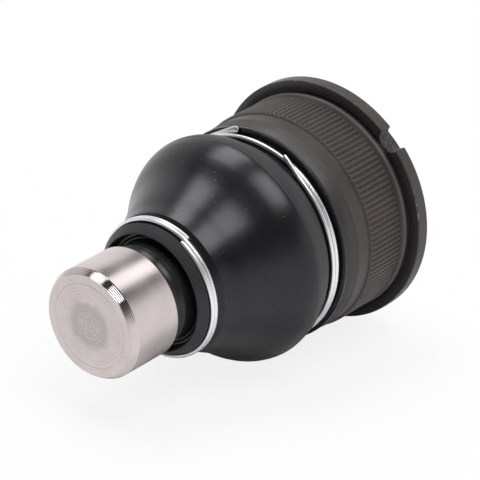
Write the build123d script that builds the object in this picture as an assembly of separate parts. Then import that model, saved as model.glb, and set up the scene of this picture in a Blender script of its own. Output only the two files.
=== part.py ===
from build123d import *
from math import atan2, cos, hypot, pi, radians, sin, sqrt, tan
import os

# Press-in suspension ball joint, in millimetres.
# The origin is the centre of the ball. +Y runs along the joint's axis, from the pin towards the
# flange, so the pin points along -Y; +Z is up with the joint lying on its side.
# Every "_Y" below is a place along that axis, and every "_R" a radius about it.

# ---------------------------------------------------------------- clearances between pieces
RUNNING_CLEARANCE = 0.05      # ball in its seat, seat in the housing, pin in the boot's lip
CAP_CLEARANCE = 0.05          # end cap in its counterbore

# ---------------------------------------------------------------- ball pin
BALL_R = 14.5
BALL_FLAT_R = 4.0             # turned flat on the ball's inner end
PIN_REACH = 53.5              # ball centre to the end face of the pin
PIN_HEAD_R = 11.0
PIN_HEAD_LENGTH = 12.0
PIN_CHAMFER_LENGTH = 1.5
PIN_CHAMFER_DEPTH = 0.9
PIN_FACE_RIM_R = 8.4          # rim of the shallow recess turned in the end face
PIN_FACE_RECESS = 0.05
WAIST_R = 9.25                # smallest radius of the waist behind the head
WAIST_CHAMFER_LENGTH = 1.2
WAIST_LENGTH = 3.0            # head to the shank that the boot seals on
SHANK_R = 10.0
SHANK_LENGTH = 10.0
NECK_R = 8.0
NECK_TAPER_LENGTH = 7.5
NECK_FILLET = 2.0
TILT_LIMIT = 25.0             # degrees the pin swings from the axis, any way

# ---------------------------------------------------------------- housing
BORE_R = 17.6                 # bore that holds the seat
MOUTH_Y = -6.3                # inner edge of the mouth, in front of the seat's nose
NECK_SWING_CLEARANCE = 1.5    # between the mouth and the neck swung to its limit
SPIGOT_Y = -9.6               # front end of the spigot that carries the boot
SPIGOT_BEAD_R = 19.0
SPIGOT_BEAD_LENGTH = 1.1
SPIGOT_BEAD_RAMP = 0.3
BOOT_SEAT_R = 18.3            # floor of the boot's groove on the spigot
SHOULDER_Y = -5.1             # front shoulder of the housing, behind the boot
SHOULDER_R = 20.9
LEAD_IN_R = 22.1              # end of the lead-in taper
LEAD_IN_BULGE = 0.16          # how far the lead-in taper is rounded outwards
LEAD_IN_Y = -1.9
LAND_R = 22.2                 # plain pilot land, ahead of the knurl
KNURL_Y = 1.8
KNURL_LENGTH = 9.7
KNURL_CREST_R = 22.7
KNURL_DEPTH = 0.36
KNURL_TEETH = 132
KNURL_CREST_SHARE = 0.34      # share of each pitch that the crest takes
KNURL_END_RISE = 0.5          # 45 degree run-out at each end of the teeth
STOP_GROOVE_R = 22.25         # turned groove between the knurl and the bead
BEAD_Y = 12.4
BEAD_R = 22.87
BEAD_LENGTH = 0.5
FLANGE_Y = 13.75              # front face of the flange, which seats on the arm
FLANGE_R = 25.2
FLANGE_THICKNESS = 2.85
FLANGE_EDGE_RADIUS = 0.3
RELIEF_R = 22.5               # undercut at the root of the flange
RELIEF_OUTER_R = 23.1
RELIEF_DEPTH = 0.35
NOTCH_R = 2.45                # half-round locating notch in the rim
NOTCH_ANGLE = 43.6            # degrees from +Z towards +X
BOSS_R = 21.2                 # closed end behind the flange
BOSS_FILLET = 0.5
END_Y = 20.8
CRIMP_CHAMFER = 1.2
CRIMP_LIP_R = 17.2            # inner edge of the rim that is rolled over the cap

# ---------------------------------------------------------------- bearing stack inside
SEAT_REAR_Y = 7.0
SEAT_NOSE_WALL = 1.3          # the seat's wall at the mouth
SEAT_SLOTS = 6
SEAT_SLOT_WIDTH = 1.4
SEAT_SLOT_LENGTH = 8.5
PAD_GAP = 0.2                 # between the seat and the thrust pad
PAD_REAR_Y = 16.2
PAD_GREASE_R = 3.0
SPRING_OUTER_R = 16.6
SPRING_INNER_R = 7.0
SPRING_THICKNESS = 0.9
SPRING_RISE = 0.8
CAP_R = 18.7
CAP_THICKNESS = 2.0
CAP_DISH_R = 10.0
CAP_DISH_DEPTH = 0.7

# ---------------------------------------------------------------- dust boot
BOOT_WALL = 1.8
BOOT_MOUTH_Y = -37.1          # front edge of the boot
BOOT_MOUTH_R = 11.8           # edge of the recess round the pin
BOOT_MOUTH_EDGE = 0.2         # width of the front edge
BOOT_RECESS_DEPTH = 2.35
BOOT_RECESS_DRAFT = 0.5       # how much the recess narrows towards its floor
BOOT_LIP_HEIGHT = 0.35        # sealing lip that stands up from the recess's floor
BOOT_LIP_WALL = 0.45
BOOT_COLLAR_END_Y = -31.2     # inner end of the sealing bore
BOOT_COLLAR_STEP = 1.6        # height of the step at that end
COLLAR_EDGE_R = 13.3          # outer edge of the collar's conical front
COLLAR_REAR_R = 14.15         # rim behind the small ring
SMALL_GROOVE_R = 13.2
CONE_START_Y = -27.5          # start of the straight cone
CONE_START_R = 16.0
CONE_HOLLOW = 0.25            # how far the outside is hollowed between rim and cone
CONE_END_Y = -17.6
CONE_END_R = 22.2
BULGE_Y = -15.2
BULGE_R = 23.0
BOOT_SHOULDER_Y = -12.7       # edge where the bulge turns down to the ring groove
BOOT_SHOULDER_R = 22.7
BOOT_CREASE_LENGTH = 0.45     # fine crease moulded behind that edge
BOOT_CREASE_DEPTH = 0.3
LARGE_GROOVE_R = 20.4
REAR_LIP_R = 22.1

# ---------------------------------------------------------------- wire clamp rings
RING_CLEARANCE = 0.05         # between a ring and the groove that it sits in
STRAND_GAP = 0.02             # between the two strands of a ring
SMALL_WIRE = 0.8              # wire diameter
SMALL_RING_SETBACK = 2.2      # boot's mouth to the centre of the wire where the front strand starts
SMALL_RING_START = 28.0       # degrees from +Z towards +X
SMALL_RING_WOUND = 702.0      # degrees of winding
SMALL_RING_FLARE = 6.0        # degrees that both free ends spring outwards
SMALL_RING_TAIL = 0.8         # length of the straight free ends
LARGE_WIRE = 0.95
LARGE_RING_Y = -8.0
LARGE_RING_START = 37.7
LARGE_RING_WOUND = 598.0
LARGE_RING_FLARE = 14.0       # front free end
LARGE_RING_FRONT_TAIL = 5.6
LARGE_RING_BOW = 42.0         # degrees over which the rear end bows off its groove
LARGE_RING_BOW_RISE = 0.9
LARGE_RING_LEAN = 18.0        # degrees that it then bends back inwards
LARGE_RING_REAR_TAIL = 10.6
WIRE_BEND = 1.5               # bend radius at the free ends, in wire diameters


def on_sphere(radius, r):
    """Distance from the ball's centre, along the axis, of the circle of radius r on a sphere."""
    return sqrt(radius**2 - r**2)


def mouth_radius(y):
    """Radius that clears the neck, swung to its limit, in the plane at y."""
    swing = radians(TILT_LIMIT)
    return NECK_R / cos(swing) - y * tan(swing) + NECK_SWING_CLEARANCE


# ---------------------------------------------------------------- sizes worked out from the above
SHANK_Y = -PIN_REACH + PIN_HEAD_LENGTH + WAIST_LENGTH
BALL_END_Y = on_sphere(BALL_R, BALL_FLAT_R)
SEAT_R = BORE_R - RUNNING_CLEARANCE
SEAT_BALL_R = BALL_R + RUNNING_CLEARANCE
MOUTH_SHOULDER_R = on_sphere(SEAT_BALL_R, MOUTH_Y) + SEAT_NOSE_WALL
SPIGOT_BEAD_END_Y = SPIGOT_Y + SPIGOT_BEAD_LENGTH
KNURL_ROOT_R = KNURL_CREST_R - KNURL_DEPTH
FLANGE_REAR_Y = FLANGE_Y + FLANGE_THICKNESS
CAP_Y = PAD_REAR_Y + SPRING_THICKNESS + SPRING_RISE
CAP_REAR_Y = CAP_Y + CAP_THICKNESS
BOOT_RECESS_Y = BOOT_MOUTH_Y + BOOT_RECESS_DEPTH
BOOT_RECESS_FLOOR_R = BOOT_MOUTH_R - BOOT_RECESS_DRAFT
BOOT_LIP_Y = BOOT_RECESS_Y - BOOT_LIP_HEIGHT
SMALL_RING_Y = BOOT_MOUTH_Y + SMALL_RING_SETBACK


def ring_span(y, wire, wound):
    """Front and rear ends of the groove that a wound ring needs."""
    rear = y + (wire + STRAND_GAP) * wound / 360
    return y - wire / 2 - RING_CLEARANCE, rear + wire / 2 + RING_CLEARANCE


def turned(*edges):
    """A solid turned about the joint's axis from a closed outline of (radius, y) edges."""
    return revolve(make_face(Curve() + list(edges)), Axis.Y)


def turned_polygon(*points):
    """A solid turned about the joint's axis from straight (radius, y) runs."""
    return turned(Polyline(*points, close=True))


# ---------------------------------------------------------------- the pieces
def ball_pin():
    """One forged and turned piece: head, pinch-bolt waist, shank, neck and ball."""
    face_y = -PIN_REACH
    head_rear_y = face_y + PIN_HEAD_LENGTH
    taper_y = SHANK_Y + SHANK_LENGTH
    neck_y = taper_y + NECK_TAPER_LENGTH
    waist_start = (WAIST_R, head_rear_y + WAIST_CHAMFER_LENGTH)
    # The neck runs into the ball through a fillet that is tangent to both.
    fillet_r = NECK_R + NECK_FILLET
    fillet_y = -on_sphere(BALL_R + NECK_FILLET, fillet_r)
    onto_ball = BALL_R / (BALL_R + NECK_FILLET)
    ball_start = (fillet_r * onto_ball, fillet_y * onto_ball)
    middle_angle = (pi + atan2(-fillet_y, -fillet_r)) / 2
    fillet_middle = (
        fillet_r + NECK_FILLET * cos(middle_angle),
        fillet_y + NECK_FILLET * sin(middle_angle),
    )
    return turned(
        Polyline(
            (0, BALL_END_Y),
            (0, face_y + PIN_FACE_RECESS),
            (PIN_FACE_RIM_R - PIN_FACE_RECESS, face_y + PIN_FACE_RECESS),
            (PIN_FACE_RIM_R, face_y),
            (PIN_HEAD_R - PIN_CHAMFER_DEPTH, face_y),
            (PIN_HEAD_R, face_y + PIN_CHAMFER_LENGTH),
            (PIN_HEAD_R, head_rear_y),
            waist_start,
        ),
        TangentArc(waist_start, (SHANK_R, SHANK_Y), tangent=(0, 1)),
        Polyline(
            (SHANK_R, SHANK_Y),
            (SHANK_R, taper_y),
            (NECK_R, neck_y),
            (NECK_R, fillet_y),
        ),
        ThreePointArc((NECK_R, fillet_y), fillet_middle, ball_start),
        ThreePointArc(ball_start, (BALL_R, 0), (BALL_FLAT_R, BALL_END_Y)),
        Line((BALL_FLAT_R, BALL_END_Y), (0, BALL_END_Y)),
    )


def knurl_band():
    """The band of straight axial teeth that bites into the arm's bore."""
    pitch = 2 * pi / KNURL_TEETH
    half_crest = pitch * KNURL_CREST_SHARE / 2
    outline = []
    for tooth in range(KNURL_TEETH):
        middle = tooth * pitch
        for angle, r in (
            (middle - pitch / 2, KNURL_ROOT_R),
            (middle - half_crest, KNURL_CREST_R),
            (middle + half_crest, KNURL_CREST_R),
        ):
            outline.append((r * cos(angle), r * sin(angle)))
    teeth = extrude(Plane.ZX * make_face(Polyline(*outline, close=True)), KNURL_LENGTH)
    inner_r = KNURL_ROOT_R - KNURL_DEPTH
    outer_r = KNURL_ROOT_R + KNURL_END_RISE
    envelope = turned_polygon(
        (inner_r, 0),
        (KNURL_ROOT_R, 0),
        (outer_r, KNURL_END_RISE),
        (outer_r, KNURL_LENGTH - KNURL_END_RISE),
        (KNURL_ROOT_R, KNURL_LENGTH),
        (inner_r, KNURL_LENGTH),
    )
    return Pos(0, KNURL_Y, 0) * (teeth & envelope)


def housing():
    """Forged steel housing: boot spigot, pilot land, knurl, depth-stop flange and rolled rim."""
    knurl_end = KNURL_Y + KNURL_LENGTH
    mouth_front = (mouth_radius(SPIGOT_Y), SPIGOT_Y)
    seat_cone = BORE_R - MOUTH_SHOULDER_R
    lead_in_middle = (
        (SHOULDER_R + LEAD_IN_R) / 2 + LEAD_IN_BULGE,
        (SHOULDER_Y + LEAD_IN_Y) / 2 - LEAD_IN_BULGE,
    )
    body = turned(
        Polyline(
            mouth_front,
            (SPIGOT_BEAD_R, SPIGOT_Y),
            (SPIGOT_BEAD_R, SPIGOT_BEAD_END_Y),
            (BOOT_SEAT_R, SPIGOT_BEAD_END_Y + SPIGOT_BEAD_RAMP),
            (BOOT_SEAT_R, SHOULDER_Y),
            (SHOULDER_R, SHOULDER_Y),
        ),
        ThreePointArc((SHOULDER_R, SHOULDER_Y), lead_in_middle, (LEAD_IN_R, LEAD_IN_Y)),
        Polyline(
            (LEAD_IN_R, LEAD_IN_Y),
            (LAND_R, LEAD_IN_Y + LAND_R - LEAD_IN_R),
            (LAND_R, KNURL_Y),
            (KNURL_ROOT_R, KNURL_Y),
            (KNURL_ROOT_R, knurl_end),
            (STOP_GROOVE_R, knurl_end),
            (STOP_GROOVE_R, BEAD_Y - (BEAD_R - STOP_GROOVE_R)),
            (BEAD_R, BEAD_Y),
            (BEAD_R, BEAD_Y + BEAD_LENGTH),
            (RELIEF_R, BEAD_Y + BEAD_LENGTH + BEAD_R - RELIEF_R),
            (RELIEF_R, FLANGE_Y + RELIEF_DEPTH),
            (RELIEF_OUTER_R, FLANGE_Y + RELIEF_DEPTH),
            (RELIEF_OUTER_R, FLANGE_Y),
            (FLANGE_R - FLANGE_EDGE_RADIUS, FLANGE_Y),
        ),
        RadiusArc(
            (FLANGE_R - FLANGE_EDGE_RADIUS, FLANGE_Y),
            (FLANGE_R, FLANGE_Y + FLANGE_EDGE_RADIUS),
            -FLANGE_EDGE_RADIUS,
        ),
        Line(
            (FLANGE_R, FLANGE_Y + FLANGE_EDGE_RADIUS),
            (FLANGE_R, FLANGE_REAR_Y - FLANGE_EDGE_RADIUS),
        ),
        RadiusArc(
            (FLANGE_R, FLANGE_REAR_Y - FLANGE_EDGE_RADIUS),
            (FLANGE_R - FLANGE_EDGE_RADIUS, FLANGE_REAR_Y),
            -FLANGE_EDGE_RADIUS,
        ),
        Line((FLANGE_R - FLANGE_EDGE_RADIUS, FLANGE_REAR_Y), (BOSS_R + BOSS_FILLET, FLANGE_REAR_Y)),
        RadiusArc(
            (BOSS_R + BOSS_FILLET, FLANGE_REAR_Y),
            (BOSS_R, FLANGE_REAR_Y + BOSS_FILLET),
            BOSS_FILLET,
        ),
        Polyline(
            (BOSS_R, FLANGE_REAR_Y + BOSS_FILLET),
            (BOSS_R, END_Y - CRIMP_CHAMFER),
            (BOSS_R - CRIMP_CHAMFER, END_Y),
            (CRIMP_LIP_R, END_Y),
            (CRIMP_LIP_R, CAP_REAR_Y),
            (CAP_R + CAP_CLEARANCE, CAP_REAR_Y),
            (CAP_R + CAP_CLEARANCE, CAP_Y),
            (BORE_R, CAP_Y),
            (BORE_R, MOUTH_Y + seat_cone),
            (MOUTH_SHOULDER_R, MOUTH_Y),
            (mouth_radius(MOUTH_Y), MOUTH_Y),
            mouth_front,
        ),
    )
    notch = Rot(0, NOTCH_ANGLE, 0) * Pos(0, FLANGE_REAR_Y, FLANGE_R) * Rot(90, 0, 0)
    return body + knurl_band() - notch * extrude(Circle(NOTCH_R), FLANGE_THICKNESS)


def ball_seat():
    """Slotted plastic seat that wraps the front of the ball and lines the housing's bore."""
    cone_gap = RUNNING_CLEARANCE * sqrt(2)
    front_y = MOUTH_Y + RUNNING_CLEARANCE + cone_gap
    nose_r = MOUTH_SHOULDER_R + RUNNING_CLEARANCE
    inner_front = (on_sphere(SEAT_BALL_R, front_y), front_y)
    inner_rear = (on_sphere(SEAT_BALL_R, SEAT_REAR_Y), SEAT_REAR_Y)
    seat = turned(
        Polyline(
            inner_front,
            (nose_r, front_y),
            (SEAT_R, front_y + SEAT_R - nose_r),
            (SEAT_R, SEAT_REAR_Y),
            inner_rear,
        ),
        ThreePointArc(inner_rear, (SEAT_BALL_R, 0), inner_front),
    )
    slot = Pos(0, SEAT_REAR_Y - SEAT_SLOT_LENGTH / 2, SEAT_R) * Box(
        SEAT_SLOT_WIDTH, SEAT_SLOT_LENGTH, 2 * (SEAT_R - NECK_R)
    )
    for step in range(SEAT_SLOTS):
        seat -= Rot(0, step * 360 / SEAT_SLOTS, 0) * slot
    return seat


def thrust_pad():
    """Plastic cup behind the ball, pressed forward by the disc spring."""
    front_y = SEAT_REAR_Y + PAD_GAP
    inner_front = (on_sphere(SEAT_BALL_R, front_y), front_y)
    inner_rear = (PAD_GREASE_R, on_sphere(SEAT_BALL_R, PAD_GREASE_R))
    middle = SEAT_BALL_R * sin(radians(45))
    return turned(
        Polyline(
            inner_rear,
            (PAD_GREASE_R, PAD_REAR_Y),
            (SEAT_R, PAD_REAR_Y),
            (SEAT_R, front_y),
            inner_front,
        ),
        ThreePointArc(inner_front, (middle, middle), inner_rear),
    )


def disc_spring():
    """Conical spring washer that keeps the pad against the ball."""
    return turned_polygon(
        (SPRING_INNER_R, PAD_REAR_Y),
        (SPRING_INNER_R, PAD_REAR_Y + SPRING_THICKNESS),
        (SPRING_OUTER_R, CAP_Y),
        (SPRING_OUTER_R, CAP_Y - SPRING_THICKNESS),
    )


def end_cap():
    """Pressed steel disc with a shallow dish, held by the housing's rolled rim."""
    dish_y = CAP_REAR_Y - CAP_DISH_DEPTH
    return turned_polygon(
        (0, CAP_Y),
        (CAP_R, CAP_Y),
        (CAP_R, CAP_REAR_Y),
        (CAP_DISH_R + CAP_DISH_DEPTH, CAP_REAR_Y),
        (CAP_DISH_R, dish_y),
        (0, dish_y),
    )


def dust_boot():
    """Rubber boot: recessed mouth, clamped collar, cone, bulge, ring groove and rear lip."""
    small_front, small_rear = ring_span(SMALL_RING_Y, SMALL_WIRE, SMALL_RING_WOUND)
    large_front, large_rear = ring_span(
        LARGE_RING_Y, LARGE_WIRE, LARGE_RING_WOUND + LARGE_RING_BOW
    )
    bore_r = SHANK_R + RUNNING_CLEARANCE
    rim_y = small_rear + COLLAR_REAR_R - SMALL_GROOVE_R
    hollow_middle = (
        (COLLAR_REAR_R + CONE_START_R) / 2 - CONE_HOLLOW,
        (rim_y + CONE_START_Y) / 2,
    )
    slope = (CONE_END_R - CONE_START_R) / (CONE_END_Y - CONE_START_Y)
    inset = BOOT_WALL / cos(atan2(slope, 1))
    inner_collar = (bore_r + BOOT_COLLAR_STEP, BOOT_COLLAR_END_Y)
    cone_inner_start = (CONE_START_R - inset, CONE_START_Y)
    cone_inner_end = (CONE_END_R - inset, CONE_END_Y)
    bulge_inner = (BULGE_R - BOOT_WALL, BULGE_Y)
    shoulder_inner = (BOOT_SHOULDER_R - BOOT_WALL, BOOT_SHOULDER_Y)
    return turned(
        Polyline(
            (BOOT_MOUTH_R, BOOT_MOUTH_Y),
            (BOOT_MOUTH_R + BOOT_MOUTH_EDGE, BOOT_MOUTH_Y),
            (COLLAR_EDGE_R, small_front),
            (SMALL_GROOVE_R, small_front),
            (SMALL_GROOVE_R, small_rear),
            (COLLAR_REAR_R, rim_y),
        ),
        ThreePointArc((COLLAR_REAR_R, rim_y), hollow_middle, (CONE_START_R, CONE_START_Y)),
        Line((CONE_START_R, CONE_START_Y), (CONE_END_R, CONE_END_Y)),
        ThreePointArc(
            (CONE_END_R, CONE_END_Y),
            (BULGE_R, BULGE_Y),
            (BOOT_SHOULDER_R, BOOT_SHOULDER_Y),
        ),
        Polyline(
            (BOOT_SHOULDER_R, BOOT_SHOULDER_Y),
            (BOOT_SHOULDER_R - BOOT_CREASE_DEPTH, BOOT_SHOULDER_Y),
            (BOOT_SHOULDER_R - BOOT_CREASE_DEPTH, BOOT_SHOULDER_Y + BOOT_CREASE_LENGTH),
            (LARGE_GROOVE_R, large_front),
            (LARGE_GROOVE_R, large_rear),
            (REAR_LIP_R, large_rear),
            (REAR_LIP_R, SHOULDER_Y),
            (BOOT_SEAT_R, SHOULDER_Y),
            (BOOT_SEAT_R, SPIGOT_BEAD_END_Y + SPIGOT_BEAD_RAMP),
            (SPIGOT_BEAD_R, SPIGOT_BEAD_END_Y),
            (SPIGOT_BEAD_R, SPIGOT_Y),
            shoulder_inner,
        ),
        ThreePointArc(shoulder_inner, bulge_inner, cone_inner_end),
        Polyline(
            cone_inner_end,
            cone_inner_start,
            inner_collar,
            (bore_r, BOOT_COLLAR_END_Y),
            (bore_r, BOOT_LIP_Y),
            (bore_r + BOOT_LIP_WALL, BOOT_LIP_Y),
            (bore_r + BOOT_LIP_WALL, BOOT_RECESS_Y),
            (BOOT_RECESS_FLOOR_R, BOOT_RECESS_Y),
            (BOOT_MOUTH_R, BOOT_MOUTH_Y),
        ),
    )


def groove_turns(wire, groove_r, wound):
    """The curve of a wire wound on its groove, which starts on +X and climbs +Z."""
    pitch = wire + STRAND_GAP
    return Helix(pitch, pitch * wound / 360, groove_r + RING_CLEARANCE + wire / 2)


def wire_end(start, heading, towards, angle, wire, length):
    """A free end of a ring's wire: a bend that turns it from heading, and a straight run."""
    bend = radians(angle)
    bend_r = WIRE_BEND * wire
    corner = start + heading * (bend_r * sin(bend)) + towards * (bend_r * (1 - cos(bend)))
    arc = TangentArc(start, corner, tangent=heading)
    section = Circle(wire / 2)
    end = sweep(Plane(start, z_dir=heading) * section, arc)
    return end + extrude(Plane(arc @ 1, z_dir=arc % 1) * section, length)


def on_axis(ring, y, start):
    """A wound ring, stood on the joint's axis and turned to where its front strand starts."""
    return Pos(0, y, 0) * Rot(0, start, 0) * Rot(0, -90, 0) * Rot(-90, 0, 0) * ring


def boot_ring_small():
    """Two strands of wire on the boot's collar, with short ends that spring off it."""
    turns = groove_turns(SMALL_WIRE, SMALL_GROOVE_R, SMALL_RING_WOUND)
    section = Circle(SMALL_WIRE / 2)
    ring = sweep(Plane(turns @ 0, z_dir=turns % 0) * section, turns, is_frenet=True)
    for place, heading in ((turns @ 0, -(turns % 0)), (turns @ 1, turns % 1)):
        outwards = Vector(place.X, place.Y, 0).normalized()
        ring += wire_end(
            place, heading, outwards, SMALL_RING_FLARE, SMALL_WIRE, SMALL_RING_TAIL
        )
    return on_axis(ring, SMALL_RING_Y, SMALL_RING_START)


def boot_ring_large():
    """Two strands of wire on the boot's large end, with long straight ends that stand off it."""
    turns = groove_turns(LARGE_WIRE, LARGE_GROOVE_R, LARGE_RING_WOUND)
    section = Circle(LARGE_WIRE / 2)
    ring = sweep(Plane(turns @ 0, z_dir=turns % 0) * section, turns, is_frenet=True)
    ring += wire_end(
        turns @ 0, -(turns % 0), Vector(1, 0, 0), LARGE_RING_FLARE, LARGE_WIRE, LARGE_RING_FRONT_TAIL
    )
    leaves = turns @ 1
    bow_r = hypot(leaves.X, leaves.Y) + LARGE_RING_BOW_RISE
    bow_angle = radians(LARGE_RING_WOUND + LARGE_RING_BOW)
    bow_end = Vector(bow_r * cos(bow_angle), bow_r * sin(bow_angle), leaves.Z)
    bow = TangentArc(leaves, bow_end, tangent=turns % 1)
    ring += sweep(Plane(leaves, z_dir=turns % 1) * section, bow)
    inwards = Vector(0, 0, 1).cross(bow % 1).normalized()
    ring += wire_end(bow @ 1, bow % 1, inwards, LARGE_RING_LEAN, LARGE_WIRE, LARGE_RING_REAR_TAIL)
    return on_axis(ring, LARGE_RING_Y, LARGE_RING_START)


PIECES = {
    "housing": housing,
    "end_cap": end_cap,
    "disc_spring": disc_spring,
    "thrust_pad": thrust_pad,
    "ball_seat": ball_seat,
    "ball_pin": ball_pin,
    "dust_boot": dust_boot,
    "boot_ring_small": boot_ring_small,
    "boot_ring_large": boot_ring_large,
}

os.makedirs("parts", exist_ok=True)
for name, make in PIECES.items():
    export_step(make(), f"parts/{name}.step")
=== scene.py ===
from math import atan2, copysign, cos, hypot, pi, radians, sin, sqrt

import bpy
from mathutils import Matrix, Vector, noise


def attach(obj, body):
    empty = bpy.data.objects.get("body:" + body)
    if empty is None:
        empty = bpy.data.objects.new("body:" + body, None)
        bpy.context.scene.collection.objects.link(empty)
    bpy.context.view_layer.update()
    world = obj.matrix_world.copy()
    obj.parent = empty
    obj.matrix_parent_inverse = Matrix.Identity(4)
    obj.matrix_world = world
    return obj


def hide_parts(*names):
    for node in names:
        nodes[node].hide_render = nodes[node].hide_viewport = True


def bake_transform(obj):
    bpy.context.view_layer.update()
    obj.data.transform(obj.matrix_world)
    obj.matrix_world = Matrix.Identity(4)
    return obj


# A suspension ball joint, dressed on its CAD frame. The origin is the ball's centre, +Y runs
# from the pin to the flange and +Z is up. Sizes and places are in millimetres until an object
# is made, and angles round the axis are in degrees from +Z towards +X.
MM = 0.001

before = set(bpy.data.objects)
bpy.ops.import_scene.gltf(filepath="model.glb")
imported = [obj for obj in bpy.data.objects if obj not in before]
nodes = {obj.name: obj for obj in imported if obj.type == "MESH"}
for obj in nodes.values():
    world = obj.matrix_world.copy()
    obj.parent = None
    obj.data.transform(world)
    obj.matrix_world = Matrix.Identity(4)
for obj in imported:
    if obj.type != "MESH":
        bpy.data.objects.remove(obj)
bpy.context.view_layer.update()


# ---------------------------------------------------------------- mesh helpers
FILLET_STEPS = 4              # spans that round a corner
FILLET_SIDE_SHARE = 0.48      # the most of a side that one fillet takes
TURNED_SIDES = 256            # faces round a lathed piece
WIRE_SIDES = 24               # faces round a wire


def smooth(value, start, end):
    """0 up to start and 1 from end on, with a smooth step between them."""
    t = min(1.0, max(0.0, (value - start) / (end - start)))
    return t * t * (3 - 2 * t)


def to_object(name, points, faces, sharp_angle):
    """A smooth-shaded mesh object from points in millimetres."""
    mesh = bpy.data.meshes.new(name)
    mesh.from_pydata([(x * MM, y * MM, z * MM) for x, y, z in points], [], faces)
    mesh.validate()
    mesh.shade_smooth()
    mesh.set_sharp_from_angle(angle=radians(sharp_angle))
    obj = bpy.data.objects.new(name, mesh)
    bpy.context.scene.collection.objects.link(obj)
    return obj


def rounded(corners):
    """The line through (y, r, fillet) corners. All but its two ends are rounded by their fillet."""
    outline = []
    for i, (y, r, fillet) in enumerate(corners):
        if fillet <= 0 or i in (0, len(corners) - 1):
            outline.append((y, r))
            continue
        at = Vector((y, r))
        before = Vector(corners[i - 1][:2]) - at
        after = Vector(corners[i + 1][:2]) - at
        half = before.angle(after) / 2
        room = FILLET_SIDE_SHARE * min(before.length, after.length)
        reach = min(fillet * cos(half) / sin(half), room)
        start = at + before.normalized() * reach
        end = at + after.normalized() * reach
        for step in range(FILLET_STEPS + 1):
            t = step / FILLET_STEPS
            p = start * (1 - t) ** 2 + at * 2 * t * (1 - t) + end * t**2
            outline.append((p.x, p.y))
    return outline


def parabola(start, middle, end, steps):
    """Points of the parabola through three (y, r) points."""
    y1, y2, y3 = start[0], middle[0], end[0]
    made = []
    for step in range(steps + 1):
        y = y1 + (y3 - y1) * step / steps
        r = (
            start[1] * (y - y2) * (y - y3) / ((y1 - y2) * (y1 - y3))
            + middle[1] * (y - y1) * (y - y3) / ((y2 - y1) * (y2 - y3))
            + end[1] * (y - y1) * (y - y2) / ((y3 - y1) * (y3 - y2))
        )
        made.append((y, r))
    return made


def through(marks, steps):
    """A smooth curve through the marks, without its first and last spans."""
    made = []
    for span in zip(marks, marks[1:], marks[2:], marks[3:]):
        a, b, c, d = (Vector(mark) for mark in span)
        for step in range(steps):
            t = step / steps
            square = (2 * a - 5 * b + 4 * c - d) * t**2
            cube = (3 * b - a - 3 * c + d) * t**3
            p = 0.5 * (2 * b + (c - a) * t + square + cube)
            made.append((p.x, p.y))
    made.append(tuple(marks[-2]))
    return made


def lathe(name, outline, sharp_angle, closed=False, shape=None):
    """A mesh turned about the Y axis from (y, r) points. shape may move each point."""
    points, rings = [], []
    for y, r in outline:
        if r < 1e-6:
            points.append((0, y, 0))
            rings.append([len(points) - 1] * TURNED_SIDES)
            continue
        first = len(points)
        for side in range(TURNED_SIDES):
            a = 2 * pi * side / TURNED_SIDES
            point = (r * sin(a), y, r * cos(a))
            points.append(shape(*point) if shape else point)
        rings.append(list(range(first, first + TURNED_SIDES)))
    pairs = list(zip(rings, rings[1:]))
    if closed:
        pairs.append((rings[-1], rings[0]))
    faces = []
    for one, two in pairs:
        for side in range(TURNED_SIDES):
            after = (side + 1) % TURNED_SIDES
            corners = [one[side], one[after], two[after], two[side]]
            faces.append([c for i, c in enumerate(corners) if c != corners[i - 1]])
    return to_object(name, points, faces, sharp_angle)


# ---------------------------------------------------------------- dust boot
MOUTH_Y, MOUTH_R = -37.1, 11.8
RECESS_Y = -34.75             # floor of the mouth's recess
LIP_Y = -35.1                 # sealing lip that stands up from that floor
BORE_R = 10.05                # bore that the pin runs in
COLLAR_EDGE_R = 13.4
COLLAR_END_Y = -31.2          # inner end of the bore
SMALL_GROOVE_FRONT_Y, SMALL_GROOVE_REAR_Y, SMALL_GROOVE_R = -35.35, -32.85, 13.2
RIM_Y, RIM_R = -31.9, 14.15   # rim behind the small ring
FLARE_START = (-30.0, 14.72)  # the outline is hollow from here to the cone
FLARE_MIDDLE = (-28.8, 15.3)
CONE_START, CONE_END = (-27.5, 16.0), (-17.6, 22.2)
BULGE_Y, BULGE_R = -15.2, 23.0
PARTING_Y = -15.3             # mould's parting line, a fine groove round the bulge
PARTING_HALF_WIDTH, PARTING_DEPTH = 0.16, 0.06
SHOULDER_Y, SHOULDER_R = -12.7, 22.7
CREASE_Y, CREASE_R = -12.3, SHOULDER_R - 0.1
LARGE_GROOVE_FRONT_Y, LARGE_GROOVE_REAR_Y, LARGE_GROOVE_R = -8.525, -5.75, 20.4
REAR_Y, REAR_LIP_R = -5.1, 22.1
SPIGOT_FRONT_Y, SPIGOT_R, SPIGOT_GROOVE_R = -9.6, 19.0, 18.3
WALL, CONE_WALL = 1.8, 2.15
# Both rings hold the boot. It is loose between them, stands a little off the axis there and
# isn't quite even.
HELD_FRONT_Y, LOOSE_FRONT_Y = -31.0, -19.0
LOOSE_REAR_Y, HELD_REAR_Y = -13.5, -9.5
SAG, SAG_ANGLE = 0.35, -50
UNEVEN_DEPTH = 0.05
UNEVEN_SCALE = 0.11           # waves of unevenness in a millimetre


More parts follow.
